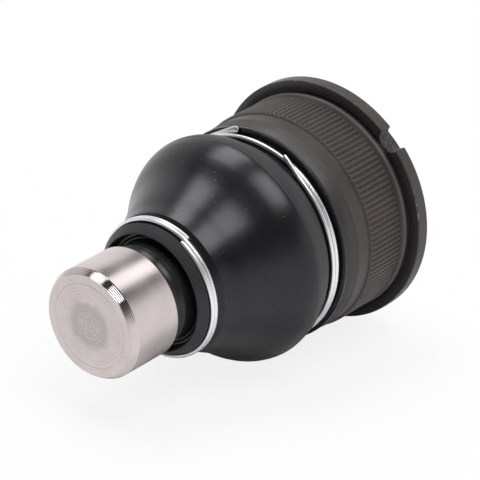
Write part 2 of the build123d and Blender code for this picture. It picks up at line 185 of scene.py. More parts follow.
def boot_front():
    """From the sealing bore round the mouth and the small ring's groove to the flare."""
    return rounded(
        [
            (COLLAR_END_Y, BORE_R, 0),
            (LIP_Y, BORE_R, 0.2),
            (LIP_Y, BORE_R + 0.45, 0.15),
            (RECESS_Y, BORE_R + 0.75, 0.2),
            (RECESS_Y, MOUTH_R - 0.45, 0.3),
            (MOUTH_Y + 0.3, MOUTH_R - 0.2, 0.2),
            (MOUTH_Y, MOUTH_R, 0.14),
            (MOUTH_Y + 0.1, MOUTH_R + 0.2, 0.12),
            (SMALL_GROOVE_FRONT_Y, COLLAR_EDGE_R, 0.14),
            (SMALL_GROOVE_FRONT_Y + 0.04, SMALL_GROOVE_R, 0.05),
            (SMALL_GROOVE_REAR_Y, SMALL_GROOVE_R, 0.2),
            (RIM_Y, RIM_R, 0.5),
            (*FLARE_START, 0),
        ]
    )


def boot_flank():
    """The cone and the bulge, with the parting line's groove."""
    marks = [
        FLARE_START, CONE_START, (-25.6, 16.98), (-23.9, 17.92), (-22.5, 18.8),
        (-21.2, 19.74), (-20.0, 20.66), (-18.9, 21.44), CONE_END, (-16.5, 22.68),
        (BULGE_Y, BULGE_R), (-13.9, 22.98), (CREASE_Y, CREASE_R), (-11.5, 22.2),
    ]
    flank = []
    for y, r in through(marks, steps=16):
        near = max(0.0, 1 - abs(y - PARTING_Y) / PARTING_HALF_WIDTH)
        flank.append((y, r - PARTING_DEPTH * near))
    return flank


def boot_rear():
    """From the crease over the large ring's groove and the rear lip, and back inside."""
    return rounded(
        [
            (CREASE_Y, CREASE_R, 0),
            (CREASE_Y + 0.12, CREASE_R - 0.22, 0.06),
            (CREASE_Y + 0.4, CREASE_R - 0.26, 0.1),
            (LARGE_GROOVE_FRONT_Y - 1.2, LARGE_GROOVE_R + 0.75, 0.8),
            (LARGE_GROOVE_FRONT_Y, LARGE_GROOVE_R, 0.3),
            (LARGE_GROOVE_REAR_Y, LARGE_GROOVE_R, 0.15),
            (LARGE_GROOVE_REAR_Y, REAR_LIP_R, 0.2),
            (REAR_Y, REAR_LIP_R, 0.15),
            (REAR_Y, SPIGOT_GROOVE_R, 0),
            (SPIGOT_FRONT_Y + 1.4, SPIGOT_GROOVE_R, 0),
            (SPIGOT_FRONT_Y + 1.1, SPIGOT_R, 0),
            (SPIGOT_FRONT_Y, SPIGOT_R, 0),
            (SHOULDER_Y, SHOULDER_R - WALL, 1.0),
            (BULGE_Y, BULGE_R - WALL, 2.0),
            (CONE_END[0], CONE_END[1] - CONE_WALL, 1.0),
            (CONE_START[0], CONE_START[1] - CONE_WALL, 1.0),
            (COLLAR_END_Y, BORE_R + 1.6, 0),
        ]
    )


def boot_outline():
    """The boot's closed section."""
    hollow = parabola(FLARE_START, FLARE_MIDDLE, CONE_START, steps=6)
    return boot_front() + hollow[1:] + boot_flank()[1:] + boot_rear()[1:]


def boot_shape(x, y, z):
    """Moves a point by the bulge's slight sag and the small unevenness of moulded rubber."""
    loose = smooth(y, HELD_FRONT_Y, LOOSE_FRONT_Y) * smooth(y, HELD_REAR_Y, LOOSE_REAR_Y)
    sag_x = SAG * loose * sin(radians(SAG_ANGLE))
    sag_z = SAG * loose * cos(radians(SAG_ANGLE))
    uneven = UNEVEN_DEPTH * loose * noise.noise(Vector((x, y, z)) * UNEVEN_SCALE)
    grown = 1 + uneven / hypot(x, z)
    return x * grown + sag_x, y, z * grown + sag_z


boot = lathe("boot", boot_outline(), sharp_angle=50, closed=True, shape=boot_shape)
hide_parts("dust_boot")


# ---------------------------------------------------------------- wire clamp rings
WINDING_STEPS = 300           # spans along the wound part of a ring
BLADE_STEPS = 12              # spans along a straight free end
FLAT_SIDED = 0.55             # how far the sides of rolled wire are flattened, from 0 to 1


def around(angle, r, y):
    """The point at an angle in degrees from +Z towards +X."""
    return Vector((r * sin(radians(angle)), y, r * cos(radians(angle))))


def outward(at, along):
    """The direction away from the axis at a point, square to the direction along."""
    out = Vector((at.x, 0, at.z)).normalized()
    return (out - along * out.dot(along) / along.length_squared).normalized()


def wire(name, stations):
    """A wire through (point, half height, half width) stations. Its height is measured away
    from the axis and its width along it. Where it is much higher than wide, its sides are flat."""
    points, faces = [], []
    last = len(stations) - 1
    for i, (at, high, wide) in enumerate(stations):
        power = 1 - FLAT_SIDED * smooth(high / wide, 1.2, 2.2)
        along = stations[min(i + 1, last)][0] - stations[max(i - 1, 0)][0]
        out = outward(at, along)
        across = along.normalized().cross(out)
        for side in range(WIRE_SIDES):
            a = 2 * pi * side / WIRE_SIDES
            up = copysign(abs(cos(a)) ** power, cos(a))
            aside = copysign(abs(sin(a)) ** power, sin(a))
            points.append(at + out * high * up + across * wide * aside)
        if i:
            one, two = (i - 1) * WIRE_SIDES, i * WIRE_SIDES
            for side in range(WIRE_SIDES):
                after = (side + 1) % WIRE_SIDES
                faces.append([one + side, one + after, two + after, two + side])
    faces.append(list(range(WIRE_SIDES))[::-1])
    faces.append([last * WIRE_SIDES + side for side in range(WIRE_SIDES)])
    return to_object(name, points, faces, sharp_angle=42)


def straight_end(start, tip, wire_r, blade, cut, lean=0.0):
    """A straight free end from start to tip. Round wire is rolled to a blade with a half height
    and a half width, which narrows over the cut's length. lean is how far its tip is bent out."""
    high, wide = blade
    length = (tip - start).length
    along = (tip - start) / length
    out = outward(start, along)
    stations = []
    for step in range(BLADE_STEPS + 1):
        t = step / BLADE_STEPS
        rolled = smooth(t, 0, 1)
        at = start + along * (length - cut) * t
        stations.append((at, wire_r + (high - wire_r) * rolled, wire_r + (wide - wire_r) * rolled))
    # The cut has taken most of the blade away at the tip.
    stations.append((tip - along * 0.1 + out * lean * 0.9, high * 0.62, wide * 0.9))
    stations.append((tip + out * lean, high * 0.5, wide * 0.7))
    return stations


LARGE_WIRE_R = 0.45
LARGE_RING_R = 20.925
LARGE_FRONT_Y, LARGE_MIDDLE_Y, LARGE_REAR_Y = -8.05, -7.5, -6.98
LARGE_FRONT_TIP = (23.2, 22.35, -8.15)    # angle, radius and place along the axis
LARGE_LEAVES = 37.7                       # where the front end leaves the groove
LARGE_TO_MIDDLE = (170.0, 360.0)          # where the wire crosses from the front to the middle
LARGE_TO_REAR = (365.0, 410.0)            # where it steps from there to the rear
LARGE_DRIFTS = 636.0                      # where the rear end starts to stand off the groove
LARGE_STRAIGHT = 678.0                    # where the rear end becomes straight
LARGE_DRIFT, LARGE_RISE = 0.75, 0.9       # how far it stands off, along the axis and away from it
LARGE_RISES_OVER, LARGE_RISE_POWER = 60.0, 1.2   # in degrees, and more slowly at first
LARGE_REAR_TIP = (-10.6, 22.0)            # angle and radius


def large_ring_y(angle):
    """The strands lie side by side, except over the top, where only one runs across."""
    return (
        LARGE_FRONT_Y
        + (LARGE_MIDDLE_Y - LARGE_FRONT_Y) * smooth(angle, *LARGE_TO_MIDDLE)
        + (LARGE_REAR_Y - LARGE_MIDDLE_Y) * smooth(angle, *LARGE_TO_REAR)
        + LARGE_DRIFT * smooth(angle, LARGE_DRIFTS, LARGE_STRAIGHT)
    )


def large_ring():
    """Nearly two turns of wire. Both ends are straight, and the rear one bows off the groove."""
    start = around(LARGE_LEAVES, LARGE_RING_R, LARGE_FRONT_Y)
    front_tip = around(*LARGE_FRONT_TIP)
    stations = straight_end(start, front_tip, LARGE_WIRE_R, blade=(0.5, 0.42), cut=0.45, lean=0.1)[::-1]
    for step in range(1, WINDING_STEPS + 1):
        angle = LARGE_LEAVES + (LARGE_STRAIGHT - LARGE_LEAVES) * step / WINDING_STEPS
        risen = smooth(angle, LARGE_DRIFTS, LARGE_DRIFTS + LARGE_RISES_OVER)
        rise = LARGE_RISE * risen**LARGE_RISE_POWER
        at = around(angle, LARGE_RING_R + rise, large_ring_y(angle))
        stations.append((at, LARGE_WIRE_R, LARGE_WIRE_R))
    end = stations[-1][0]
    rear_tip = around(*LARGE_REAR_TIP, end.y)
    stations += straight_end(end, rear_tip, LARGE_WIRE_R, blade=(0.72, 0.24), cut=0.5, lean=0.1)[1:]
    return wire("clamp_ring_large", stations)


SMALL_WIRE_R = 0.42
SMALL_RING_R = 13.65
SMALL_FRONT_Y = -34.9
SMALL_PITCH = 0.8             # how far each turn moves along the axis
SMALL_START, SMALL_WOUND = 31.6, 712.0
SMALL_GAP = 0.16              # how far the strands spring apart near the front end
SMALL_GAP_OPENS = (106.6, 46.6)   # angles between which the gap opens
# Each free end's degrees round the axis, and how far it stands off the groove.
SMALL_FRONT_TAIL, SMALL_FRONT_FLARE = 3.6, 0.12
SMALL_REAR_TAIL, SMALL_REAR_FLARE = 5.2, 0.14
SMALL_BLADE, SMALL_CUT = (0.4, 0.36), 0.3


def small_ring():
    """Two turns of wire, with short straight ends that stand only slightly off the groove."""
    front_y = SMALL_FRONT_Y - SMALL_GAP
    start = around(SMALL_START, SMALL_RING_R, front_y)
    front_tip = around(SMALL_START - SMALL_FRONT_TAIL, SMALL_RING_R + SMALL_FRONT_FLARE, front_y)
    stations = straight_end(start, front_tip, SMALL_WIRE_R, SMALL_BLADE, SMALL_CUT)[::-1]
    for step in range(1, WINDING_STEPS + 1):
        wound = SMALL_WOUND * step / WINDING_STEPS
        angle = SMALL_START + wound
        y = SMALL_FRONT_Y + SMALL_PITCH * wound / 360 - SMALL_GAP * smooth(angle, *SMALL_GAP_OPENS)
        stations.append((around(angle, SMALL_RING_R, y), SMALL_WIRE_R, SMALL_WIRE_R))
    end = stations[-1][0]
    rear_angle = SMALL_START + SMALL_WOUND + SMALL_REAR_TAIL
    rear_tip = around(rear_angle, SMALL_RING_R + SMALL_REAR_FLARE, end.y)
    stations += straight_end(end, rear_tip, SMALL_WIRE_R, SMALL_BLADE, SMALL_CUT)[1:]
    return wire("clamp_ring_small", stations)


ring_large = large_ring()
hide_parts("boot_ring_large")
ring_small = small_ring()
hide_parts("boot_ring_small")


# ---------------------------------------------------------------- ball pin
FACE_Y = -53.5
# The face's shallow dish and its fine rings, each by radius and depth.
FACE_DISH = ((0, 0.05), (4.2, 0.04), (5.0, 0.02))
FACE_RINGS = ((5.7, 0.02), (6.3, 0.015), (6.9, 0.03), (7.5, 0.02), (8.4, 0.05))
FACE_RING_HALF_WIDTH = 0.14
HEAD_R, HEAD_REAR_Y = 11.0, -41.5
CHAMFER_LENGTH, CHAMFER_DEPTH = 1.5, 0.9
CHAMFER_GROOVES, CHAMFER_GROOVE_DEPTH = 5, 0.045
CHAMFER_BULGE = 0.06
WAIST_R, WAIST_FILLET = 9.25, 2.7
WAIST_CHAMFER_LENGTH, WAIST_FLAT_LENGTH, WAIST_LENGTH = 1.2, 0.1, 3.2
SHANK_R, SHANK_END_Y = 10.0, -28.5
NECK_R, NECK_Y, NECK_END_Y = 8.0, -21.0, -13.6
BALL_R, BALL_FLAT_R = 14.5, 4.0
BALL_ROOT = (-12.3, 8.2)      # between the neck and the ball
BALL_JOIN = (-11.534, 8.788)  # where the ball begins
BALL_STEPS = 48


def chamfer_corners():
    """The lead chamfer, slightly bulged, with coarse tool marks turned into it."""
    corners = []
    for groove in range(CHAMFER_GROOVES):
        for share, depth in ((0.14, 0), (0.5, CHAMFER_GROOVE_DEPTH), (0.86, 0)):
            t = (groove + share) / CHAMFER_GROOVES
            sunk = depth - CHAMFER_BULGE * 4 * t * (1 - t)
            y = FACE_Y + CHAMFER_LENGTH * t + sunk * 0.5
            corners.append((y, HEAD_R - CHAMFER_DEPTH * (1 - t) - sunk, 0))
    return corners


def waist_corners():
    """The waist behind the head: a chamfer down to it and a hollow curve up to the shank."""
    corners = [(HEAD_REAR_Y + WAIST_CHAMFER_LENGTH, WAIST_R, 0.25)]
    hollow_y = HEAD_REAR_Y + WAIST_CHAMFER_LENGTH + WAIST_FLAT_LENGTH
    for degrees in range(5, 45, 5):
        a = radians(degrees)
        corners.append((hollow_y + WAIST_FILLET * sin(a), WAIST_R + WAIST_FILLET * (1 - cos(a)), 0))
    return corners


def pin_outline():
    """From the face's middle along the head, waist, shank and neck, and round the ball."""
    corners = [(FACE_Y + depth, r, 0) for r, depth in FACE_DISH]
    for r, depth in FACE_RINGS:
        for aside, sunk in ((-FACE_RING_HALF_WIDTH, 0), (0, depth), (FACE_RING_HALF_WIDTH, 0)):
            corners.append((FACE_Y + sunk, r + aside, 0))
    corners.append((FACE_Y, HEAD_R - CHAMFER_DEPTH, 0.12))
    corners += chamfer_corners()
    corners += [
        (FACE_Y + CHAMFER_LENGTH + 0.05, HEAD_R, 0.1),
        (HEAD_REAR_Y, HEAD_R, 0.12),
        *waist_corners(),
        (HEAD_REAR_Y + WAIST_LENGTH, SHANK_R, 0.1),
        (SHANK_END_Y, SHANK_R, 0.6),
        (NECK_Y, NECK_R, 1.5),
        (NECK_END_Y, NECK_R, 1.5),
        (*BALL_ROOT, 0),
    ]
    outline = rounded(corners)
    start = atan2(*BALL_JOIN)
    end = atan2(sqrt(BALL_R**2 - BALL_FLAT_R**2), BALL_FLAT_R)
    for step in range(BALL_STEPS + 1):
        a = start + (end - start) * step / BALL_STEPS
        outline.append((BALL_R * sin(a), BALL_R * cos(a)))
    outline.append((outline[-1][0], 0))
    return outline


pin = lathe("pin", pin_outline(), sharp_angle=30)
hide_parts("ball_pin")


# ---------------------------------------------------------------- material helpers
def material(name):
    """A new material, its node tree and its shader."""
    made = bpy.data.materials.new(name)
    made.use_nodes = True
    return made, made.node_tree, made.node_tree.nodes["Principled BSDF"]


def put(tree, node, inputs):
    """Fills a node's inputs. Each socket, by its name or place, gets a value or another socket."""
    for key, value in inputs.items():
        if isinstance(value, bpy.types.NodeSocket):
            tree.links.new(value, node.inputs[key])
        else:
            node.inputs[key].default_value = value


def add(tree, kind, inputs=None, **settings):
    """A new node with its settings and inputs."""
    made = tree.nodes.new(kind)
    for key, value in settings.items():
        setattr(made, key, value)
    put(tree, made, inputs or {})
    return made


def calc(tree, operation, *values):
    """A Math node's result."""
    return add(tree, "ShaderNodeMath", dict(enumerate(values)), operation=operation).outputs[0]


def times(tree, product, *values):
    """The product of all the values."""
    for value in values:
        product = calc(tree, "MULTIPLY", product, value)
    return product


def most(tree, largest, *values):
    """The largest of all the values."""
    for value in values:
        largest = calc(tree, "MAXIMUM", largest, value)
    return largest


def apart(tree, value, middle):
    """How far value is from middle."""
    return calc(tree, "ABSOLUTE", calc(tree, "SUBTRACT", value, middle))


def diagonal(tree, one, two):
    """The length of the line whose two parts, square to each other, are one and two."""
    return calc(tree, "SQRT", calc(tree, "ADD", times(tree, one, one), times(tree, two, two)))


def ramp(tree, value, low, high, to_low=0.0, to_high=1.0):
    """value taken smoothly from low..high to to_low..to_high."""
    inputs = {"Value": value, 1: low, 2: high, 3: to_low, 4: to_high}
    made = add(tree, "ShaderNodeMapRange", inputs, interpolation_type="SMOOTHSTEP")
    return made.outputs["Result"]


def fall(tree, value, low, high):
    """1 up to low and 0 from high on, with a smooth step between them."""
    return ramp(tree, value, low, high, 1.0, 0.0)


def band(tree, value, low, high, soft):
    """1 where value lies between low and high, fading to 0 over soft outside them."""
    return times(tree, ramp(tree, value, low - soft, low), fall(tree, value, high, high + soft))


def grain(tree, place, size, detail=2.0, roughness=0.5):
    """Noise from 0 to 1 whose lumps are about size millimetres across."""
    inputs = {"Vector": place, "Scale": 1 / (size * MM), "Detail": detail, "Roughness": roughness}
    return add(tree, "ShaderNodeTexNoise", inputs).outputs["Fac"]


def mixed(tree, share, one, two):
    """A colour that goes from one to two as share goes from 0 to 1."""
    one, two = ((*c, 1) if isinstance(c, tuple) else c for c in (one, two))
    return add(tree, "ShaderNodeMix", {0: share, 6: one, 7: two}, data_type="RGBA").outputs[2]


def bump(tree, height, depth, normal=None):
    """A bump whose height of 1 stands depth millimetres proud."""
    inputs = {"Height": height, "Distance": depth * MM}
    if normal is not None:
        inputs["Normal"] = normal
    return add(tree, "ShaderNodeBump", inputs).outputs["Normal"]


def object_place(tree):
    """The place in the object's own frame, in metres."""
    return add(tree, "ShaderNodeTexCoord").outputs["Object"]


def parted(tree, place):
    """The x, y and z of a place in metres, each in millimetres."""
    parts = add(tree, "ShaderNodeSeparateXYZ", {0: place}).outputs
    return [calc(tree, "DIVIDE", part, MM) for part in parts]


def turning(tree, place, squeeze):
    """The place squeezed round the joint's axis, so that noise on it runs in fine lathe rings."""
    x, y, z = add(tree, "ShaderNodeSeparateXYZ", {0: place}).outputs
    angle = calc(tree, "ARCTAN2", x, z)
    turn_x = times(tree, calc(tree, "COSINE", angle), squeeze)
    turn_z = times(tree, calc(tree, "SINE", angle), squeeze)
    along = calc(tree, "ADD", y, diagonal(tree, x, z))
    return add(tree, "ShaderNodeCombineXYZ", {0: turn_x, 1: along, 2: turn_z}).outputs[0]


# ---------------------------------------------------------------- phosphated steel
# Parts of the housing, each from one place along the axis to another.
LEAD_IN_EDGE = (-1.92, -1.8)
LAND_END = (0.6, 1.2)
TEETH_START = (1.78, 2.3)
TEETH = (2.2, 11.2)
STOP_GROOVE = (11.5, 11.8)
STOP_BEAD = (12.0, 12.95)
UNDERCUT = (12.98, 13.85)
FLANGE, FLANGE_FRONT_EDGE, FLANGE_REAR_EDGE = (13.7, 16.65), (13.7, 13.95), (16.4, 16.65)
# Radii over which the coat changes there.
CREST_R, VALLEY_R = (22.52, 22.7), (22.4, 22.6)
STOP_BEAD_R = (22.55, 22.87)
FLANGE_EDGE_R, UNDERCUT_R = (24.95, 25.1), (23.6, 24.7)
FLANGE_R = 25.2
NOTCH_ANGLE, NOTCH_R = 43.6, (2.46, 2.75)


def notch_share(tree, x, y, z):
    """1 in the notch in the flange's rim."""
    aside_x = calc(tree, "SUBTRACT", x, FLANGE_R * sin(radians(NOTCH_ANGLE)))
    aside_z = calc(tree, "SUBTRACT", z, FLANGE_R * cos(radians(NOTCH_ANGLE)))
    inside = fall(tree, diagonal(tree, aside_x, aside_z), *NOTCH_R)
    return times(tree, inside, band(tree, y, *FLANGE, 0.1))


def phosphated_steel():
    """Forged and turned steel with a dark phosphate coat, rubbed bright at the rim's edges. Highlights,
    light and shade are painted on its stop bead, edges, knurl and grooves.
    """
    made, tree, shader = material("phosphated_steel")
    place = object_place(tree)
    x, y, z = parted(tree, place)
    r = diagonal(tree, x, z)
    cloud = grain(tree, place, 7.0, 3.0, 0.6)
    fine = grain(tree, place, 0.4, 4.0, 0.65)
    coat = mixed(tree, ramp(tree, cloud, 0.3, 0.72), (0.025, 0.0200, 0.0193), (0.040, 0.0322, 0.0310))
    colour = mixed(tree, ramp(tree, fine, 0.4, 0.72, 0.0, 0.45), coat, (0.062, 0.051, 0.049))
    # The coat is thinner where the knurl's crests stand up.
    on_teeth = band(tree, y, *TEETH, 0.3)
    crest = times(tree, on_teeth, ramp(tree, r, *CREST_R), 0.12)
    colour = mixed(tree, crest, colour, (0.085, 0.072, 0.069))
    # Painted light lifts the shade in the knurl's valleys, at the start of its teeth and along the
    # edge between the lead-in taper and the land.
    painted_valley_light = times(tree, on_teeth, fall(tree, r, *VALLEY_R), 0.4)
    painted_teeth_start_light = times(tree, band(tree, y, *TEETH_START, 0.06), 0.7)
    painted_lead_in_light = times(tree, band(tree, y, *LEAD_IN_EDGE, 0.06), 0.3)
    colour = mixed(tree, most(tree, painted_valley_light, painted_teeth_start_light, painted_lead_in_light), colour, (0.075, 0.063, 0.060))
    # A painted highlight runs along the stop bead, and the flange's two edges have handling marks
    # that are painted brighter to stand for highlights as well.
    bead_highlight = times(tree, band(tree, y, *STOP_BEAD, 0.1), ramp(tree, r, *STOP_BEAD_R), 0.24)
    edges = most(tree, band(tree, y, *FLANGE_FRONT_EDGE, 0.15), band(tree, y, *FLANGE_REAR_EDGE, 0.12))
    chips = ramp(tree, grain(tree, place, 0.9, 4.0, 0.7), 0.56, 0.68)
    wear_and_highlight = most(tree, times(tree, edges, ramp(tree, r, *FLANGE_EDGE_R), chips), bead_highlight)
    colour = mixed(tree, times(tree, wear_and_highlight, 0.8), colour, (0.36, 0.34, 0.335))
    # The notch was broken out rather than turned, so it is coarse and a little paler.
    notch = notch_share(tree, x, y, z)
    crumb = grain(tree, place, 0.55, 5.0, 0.75)
    crumbs = mixed(tree, ramp(tree, crumb, 0.45, 0.75), (0.014, 0.012, 0.0115), (0.16, 0.148, 0.143))
    colour = mixed(tree, times(tree, notch, 0.85), colour, crumbs)
    # The plain land is darker than the rest, and there is a brown tinge in places.
    on_land = fall(tree, y, *LAND_END)
    colour = mixed(tree, times(tree, on_land, 0.3), colour, (0.013, 0.0103, 0.0098))
    tinge = ramp(tree, grain(tree, place, 9.0, 5.0, 0.7), 0.5, 0.72, 0.0, 0.4)
    colour = mixed(tree, tinge, colour, (0.058, 0.038, 0.034))
    # Painted shade keeps the groove behind the knurl and the flange's undercut dark, and both are
    # rougher.
    undercut = times(tree, band(tree, y, *UNDERCUT, 0.08), fall(tree, r, *UNDERCUT_R))
    recess_shade = most(tree, undercut, times(tree, band(tree, y, *STOP_GROOVE, 0.1), 0.8))
    colour = mixed(tree, times(tree, recess_shade, 0.8), colour, (0.008, 0.007, 0.007))
    rough = calc(tree, "ADD", ramp(tree, cloud, 0.3, 0.7, 0.42, 0.54), times(tree, recess_shade, 0.3))
    rough = calc(tree, "SUBTRACT", rough, times(tree, wear_and_highlight, 0.2))
    # Edges are eased, and the corners beside the land more than the others.
    eased = add(tree, "ShaderNodeBevel", {"Radius": 0.2 * MM}, samples=6).outputs[0]
    softer = add(tree, "ShaderNodeBevel", {"Radius": 0.7 * MM}, samples=6).outputs[0]
    corners = add(tree, "ShaderNodeMix", {0: on_land, 4: eased, 5: softer}, data_type="VECTOR")
    normal = bump(tree, fine, 0.03, corners.outputs[1])
    normal = bump(tree, grain(tree, turning(tree, place, 0.004), 0.14, 2.0, 0.6), 0.012, normal)
    normal = bump(tree, times(tree, crumb, notch), 0.35, normal)
    put(tree, shader, {"Base Color": colour, "Roughness": rough, "Normal": normal})
    put(tree, shader, {"Specular IOR Level": 0.6})
    return made


# ---------------------------------------------------------------- boot rubber
MATT_BAND = (PARTING_Y + 0.15, CREASE_Y + 3.0)
MATT_MOUTH = (MOUTH_Y - 0.2, SMALL_GROOVE_FRONT_Y + 0.15)
DUST_SPACING = 1.3


def dust(tree, place):
    """1 on sparse specks, each a fraction of a millimetre across."""
    cells = add(tree, "ShaderNodeTexVoronoi", {"Vector": place, "Scale": 1 / (DUST_SPACING * MM)})
    chosen = add(tree, "ShaderNodeSeparateColor", {0: cells.outputs["Color"]}).outputs[0]
    small = fall(tree, cells.outputs["Distance"], 0.05, 0.13)
    return times(tree, small, ramp(tree, chosen, 0.6, 0.64))


def boot_rubber():
    """Moulded black rubber with a soft sheen, more matt behind the parting line and at the mouth."""
    made, tree, shader = material("boot_rubber")
    place = object_place(tree)
    y = parted(tree, place)[1]
    cloud = grain(tree, place, 9.0, 3.0, 0.55)
    matt = most(tree, band(tree, y, *MATT_BAND, 0.2), band(tree, y, *MATT_MOUTH, 0.2))
    line = fall(tree, apart(tree, y, PARTING_Y), 0.06, 0.2)
    speck = dust(tree, place)
    colour = mixed(tree, cloud, (0.0075, 0.0075, 0.008), (0.012, 0.012, 0.0127))
    colour = mixed(tree, times(tree, matt, 0.6), colour, (0.034, 0.034, 0.034))
    colour = mixed(tree, times(tree, line, 0.7), colour, (0.003, 0.003, 0.003))
    colour = mixed(tree, times(tree, speck, 0.5), colour, (0.16, 0.155, 0.15))
    rough = calc(tree, "ADD", ramp(tree, cloud, 0.2, 0.8, 0.25, 0.28), times(tree, matt, 0.22))
    rough = calc(tree, "ADD", rough, times(tree, speck, 0.3))
    normal = bump(tree, grain(tree, place, 0.22, 3.0, 0.6), 0.009)
    normal = bump(tree, grain(tree, place, 3.2, 1.0, 0.4), 0.012, normal)
    put(tree, shader, {"Base Color": colour, "Roughness": rough, "Normal": normal})
    put(tree, shader, {"Specular IOR Level": 0.43, "Specular Tint": (0.95, 0.93, 1.0, 1)})
    return made


# ---------------------------------------------------------------- zinc wire
def zinc_wire():
    """Zinc-plated wire with fine drawing marks."""
    made, tree, shader = material("zinc_wire")
    place = object_place(tree)
    cloud = grain(tree, place, 2.5, 3.0, 0.6)
    colour = mixed(tree, cloud, (0.84, 0.86, 0.87), (0.93, 0.94, 0.95))
    rough = ramp(tree, cloud, 0.3, 0.7, 0.29, 0.36)
    normal = bump(tree, grain(tree, turning(tree, place, 0.02), 0.16, 2.0, 0.6), 0.0006)
    put(tree, shader, {"Base Color": colour, "Roughness": rough, "Normal": normal, "Metallic": 1.0})
    return made


# ---------------------------------------------------------------- turned steel
# Radii over which the rubbed centre of the face, and the marks in its middle, fade out.
CENTRE_R, CORE_R = (3.6, 5.8), (2.2, 3.8)
FACE_SWIRL = {
    "Scale": 0.42,
    "Distortion": 7.0,
    "Detail": 3.0,
    "Detail Scale": 0.9,
    "Detail Roughness": 0.7,
}


def swirl_marks(tree, place):
    """Uneven rings round the joint's axis, for the rubbed middle of the pin's face."""
    inputs = {0: place, 1: (1 / MM, 0.0, 1 / MM)}
    flat = add(tree, "ShaderNodeVectorMath", inputs, operation="MULTIPLY").outputs[0]
    settings = {"wave_type": "RINGS", "rings_direction": "SPHERICAL"}
    return add(tree, "ShaderNodeTexWave", {"Vector": flat, **FACE_SWIRL}, **settings).outputs["Fac"]


def face_ring_shade(tree, r, worn):
    """The fine rings turned in the face, as painted shade that is darker where they are deeper and worn
    in places.
    """
    ring_shade = []
    for ring_r, depth in FACE_RINGS:
        near = fall(tree, apart(tree, r, ring_r), 0.0, 0.13)
        ring_shade.append(times(tree, near, 0.34 + 8 * depth))
    return times(tree, most(tree, *ring_shade), ramp(tree, worn, 0.35, 0.6, 0.4, 1.0))


def turned_steel():
    """Bare turned steel: lathe rings with painted shade on the face, a duller rubbed centre, fine feed
    marks.
    """
    made, tree, shader = material("turned_steel")
    place = object_place(tree)
    x, y, z = parted(tree, place)
    r = diagonal(tree, x, z)
    on_face = fall(tree, y, FACE_Y + 0.12, FACE_Y + 0.3)
    feed = grain(tree, turning(tree, place, 0.0012), 0.16, 3.0, 0.65)
    worn = grain(tree, place, 2.2, 4.0, 0.65)
    cloud = grain(tree, place, 5.0, 3.0, 0.6)
    # The rubbed centre has an uneven edge.
    centre_r = calc(tree, "ADD", r, times(tree, calc(tree, "SUBTRACT", worn, 0.5), 2.4))
    centre = times(tree, on_face, fall(tree, centre_r, *CENTRE_R))
    core = times(tree, on_face, fall(tree, centre_r, *CORE_R))
    colour = mixed(tree, ramp(tree, cloud, 0.3, 0.7), (0.60, 0.537, 0.528), (0.66, 0.600, 0.592))
    face_tone = times(tree, ramp(tree, feed, 0.35, 0.7, 0.0, 0.22), on_face)
    # Painted shade darkens the face's turned rings; the feed marks are the face's own tone.
    ring_shade = times(tree, face_ring_shade(tree, r, worn), on_face)
    colour = mixed(tree, most(tree, face_tone, ring_shade), colour, (0.34, 0.305, 0.30))
    colour = mixed(tree, times(tree, centre, 0.6), colour, (0.37, 0.35, 0.35))
    swirl = swirl_marks(tree, place)
    broken = ramp(tree, grain(tree, place, 0.5, 3.0, 0.7), 0.38, 0.6, 0.15, 1.0)
    marks = times(tree, ramp(tree, swirl, 0.3, 0.8), broken, core, 0.7)
    colour = mixed(tree, marks, colour, (0.66, 0.625, 0.62))
    # The rubbed centre is duller than the rest, and the lead chamfer is brighter.
    rough = calc(tree, "ADD", ramp(tree, cloud, 0.3, 0.7, 0.27, 0.32), times(tree, centre, 0.12))
    chamfer = band(tree, y, FACE_Y + 0.15, FACE_Y + CHAMFER_LENGTH, 0.05)
    rough = calc(tree, "SUBTRACT", rough, times(tree, chamfer, 0.19))
    normal = bump(tree, feed, 0.005)
    normal = bump(tree, times(tree, swirl, core), 0.05, normal)
    put(tree, shader, {"Base Color": colour, "Roughness": rough, "Normal": normal, "Metallic": 1.0})
    return made


def pin_coat():
    """The dark, slightly glossy coat on the pin behind its turned head."""
    made, tree, shader = material("pin_coat")
    place = object_place(tree)
    cloud = grain(tree, place, 3.0, 3.0, 0.6)
    colour = mixed(tree, cloud, (0.010, 0.0098, 0.0098), (0.020, 0.019, 0.019))
    rough = ramp(tree, cloud, 0.3, 0.7, 0.26, 0.34)
    normal = bump(tree, grain(tree, turning(tree, place, 0.002), 0.2, 2.0, 0.6), 0.002)
    put(tree, shader, {"Base Color": colour, "Roughness": rough, "Normal": normal})
    put(tree, shader, {"Specular IOR Level": 0.35})
    return made


# ---------------------------------------------------------------- hidden bearing parts
def bearing_plastic():
    """Pale moulded plastic of the ball seat and the thrust pad."""
    made, tree, shader = material("bearing_plastic")
    place = object_place(tree)
    cloud = grain(tree, place, 4.0, 3.0, 0.55)
    colour = mixed(tree, cloud, (0.62, 0.59, 0.52), (0.74, 0.71, 0.63))
    rough = ramp(tree, cloud, 0.3, 0.7, 0.34, 0.46)
    normal = bump(tree, grain(tree, place, 0.3), 0.01)
    put(tree, shader, {"Base Color": colour, "Roughness": rough, "Normal": normal})
    return made


def spring_steel():
    """Bare rolled steel of the disc spring."""
    made, tree, shader = material("spring_steel")
    place = object_place(tree)
    cloud = grain(tree, place, 3.0, 3.0, 0.55)
    colour = mixed(tree, cloud, (0.16, 0.165, 0.18), (0.26, 0.265, 0.28))
    rough = ramp(tree, cloud, 0.3, 0.7, 0.28, 0.4)
    normal = bump(tree, grain(tree, turning(tree, place, 0.002), 0.2), 0.01)
    put(tree, shader, {"Base Color": colour, "Roughness": rough, "Normal": normal, "Metallic": 1.0})
    return made


def dress(obj, made):
    """Gives every face of a piece the same material."""
    obj.data.materials.clear()
    obj.data.materials.append(made)


